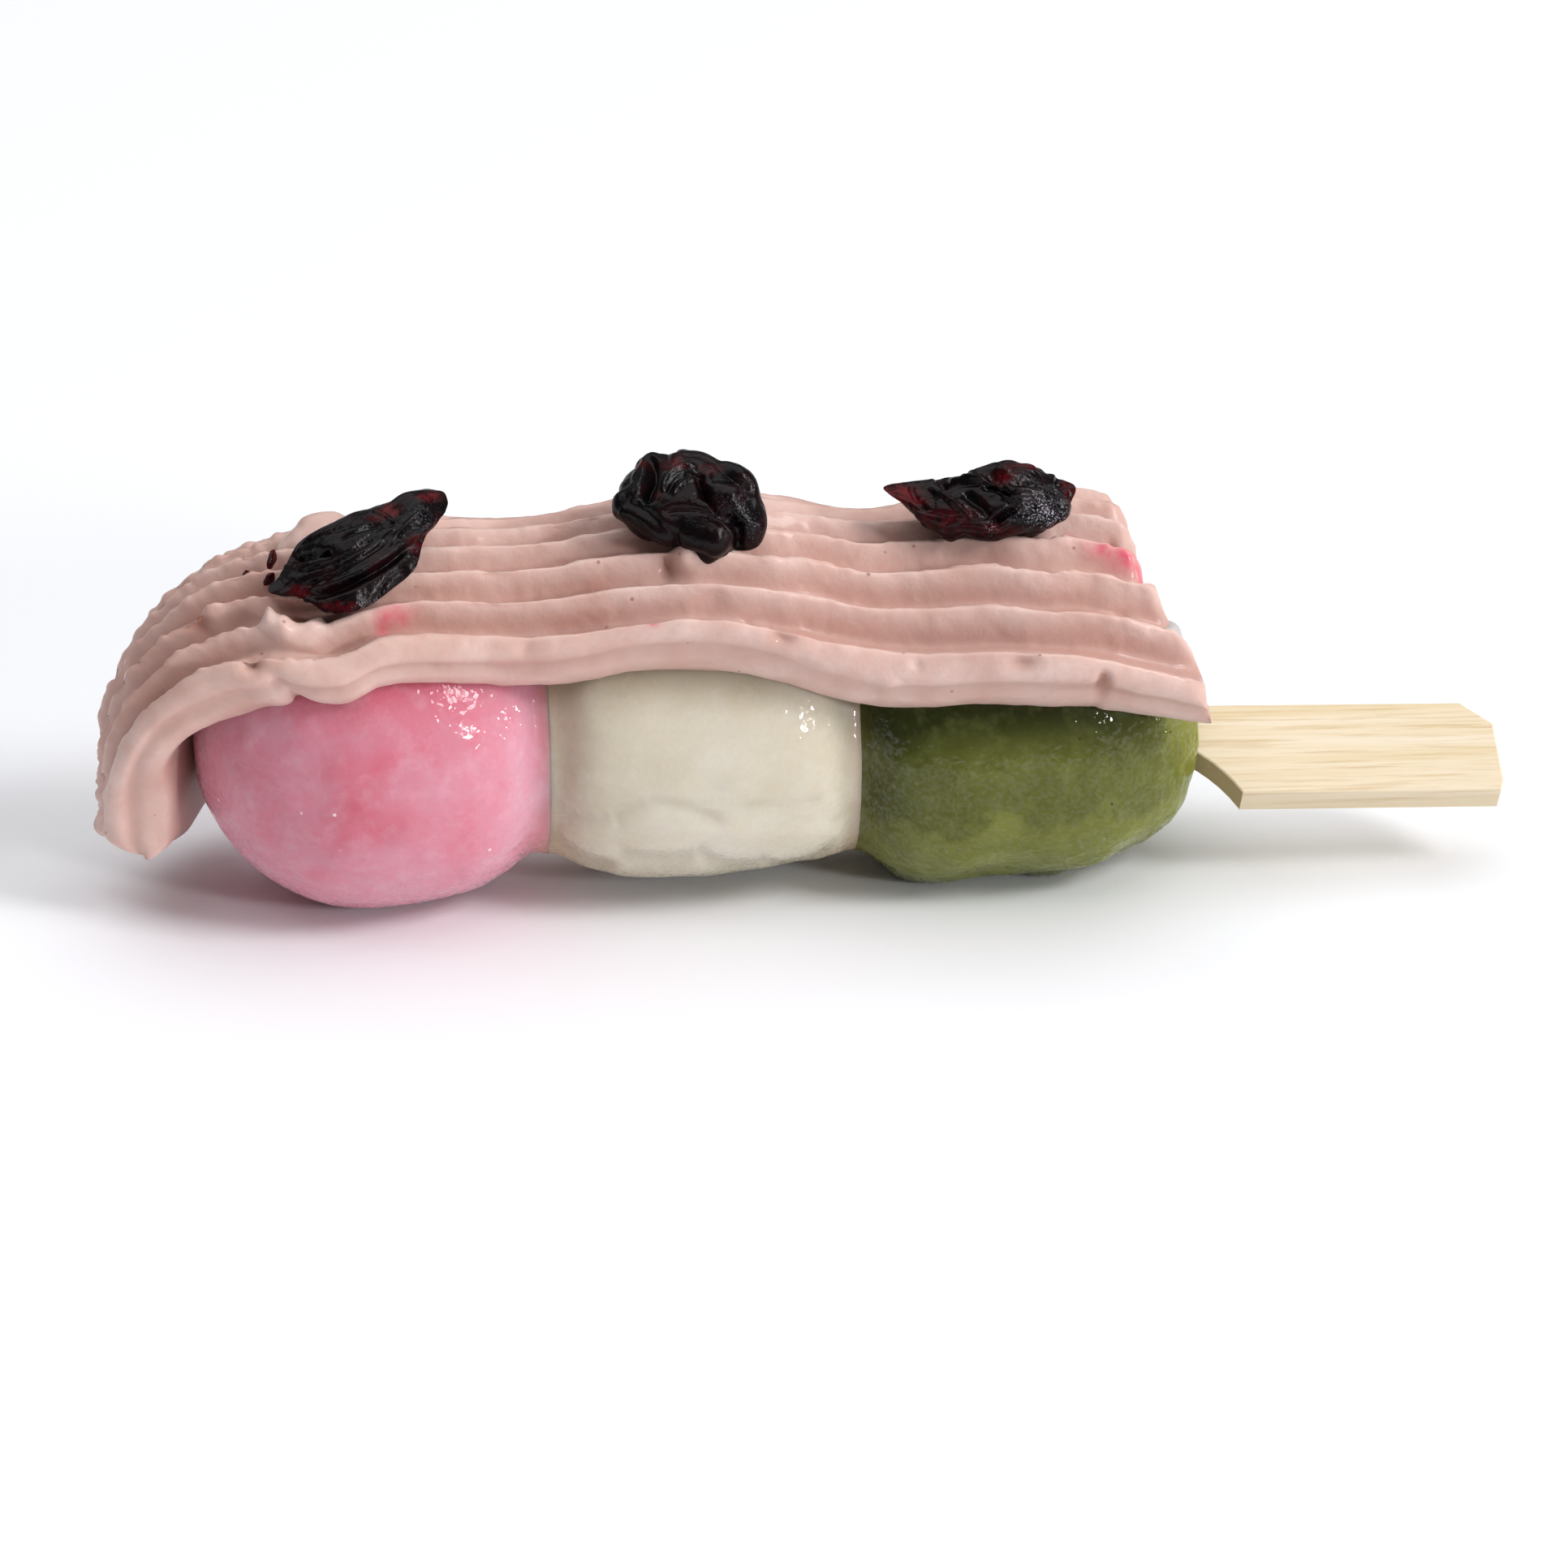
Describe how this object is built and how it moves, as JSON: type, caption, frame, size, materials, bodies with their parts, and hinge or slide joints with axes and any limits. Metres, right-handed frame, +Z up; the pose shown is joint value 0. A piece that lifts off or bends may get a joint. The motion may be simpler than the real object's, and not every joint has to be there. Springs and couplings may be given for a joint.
{
  "type": "dango skewer",
  "caption": "Rice dumplings in a row on a flat bamboo paddle skewer, under a ribbed ribbon of piped cream that drapes over one end and carries dried cherries.",
  "frame": {"origin": "middle of the footprint's bounding box, on the surface that the skewer lies on", "axes": "+X along the skewer towards the handle, -Y the front side, towards which the cream's front edge hangs, +Z up"},
  "size_m": [0.1303, 0.034, 0.0441],
  "materials": {
    "bamboo": "matte, split and planed bamboo",
    "pink_dough": "wet, slightly translucent steamed rice dough",
    "white_dough": "wet, slightly translucent steamed rice dough",
    "green_dough": "wet steamed rice dough with green tea powder",
    "cream": "soft satin piped bean cream",
    "dried_cherry": "glossy wrinkled dried fruit"
  },
  "bodies": {
    "root": {"skewer": "bamboo", "dango_pink": "pink_dough", "dango_white": "white_dough", "dango_green": "green_dough", "cream_ribbon": "cream", "cherry_left": "dried_cherry", "cherry_middle": "dried_cherry", "cherry_right": "dried_cherry"}
  },
  "joints": []
}
